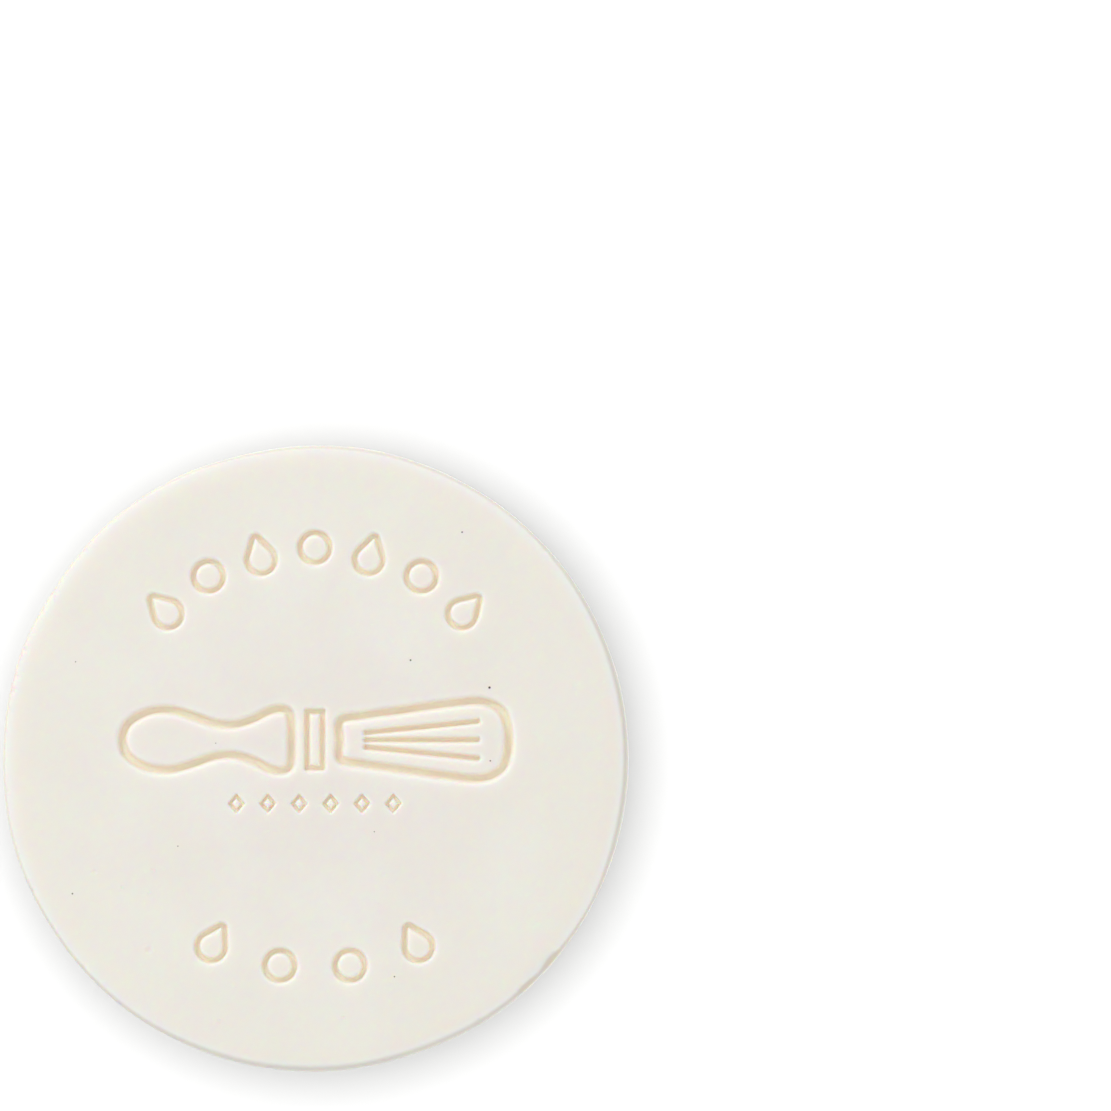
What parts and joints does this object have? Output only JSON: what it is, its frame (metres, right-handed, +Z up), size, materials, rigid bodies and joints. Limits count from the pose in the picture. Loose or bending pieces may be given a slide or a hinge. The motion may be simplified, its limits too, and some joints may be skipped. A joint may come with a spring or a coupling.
{
  "type": "shaving soap puck",
  "caption": "Round pressed puck of hard shaving soap, flat base, rounded rims, a stamped decoration recessed in its upper face.",
  "frame": {"origin": "centre of the flat base, which lies on z = 0", "axes": "+Z up through the stamped face; +X to the right of the stamp as it is read; +Y to the stamp's top"},
  "size_m": [0.078, 0.078, 0.02],
  "materials": {
    "pressed_soap": "hard milled soap, ivory, satin and slightly waxy, a little translucent at the rim, buff in the stamped grooves"
  },
  "bodies": {
    "root": {"soap_puck": "pressed_soap"}
  },
  "joints": []
}
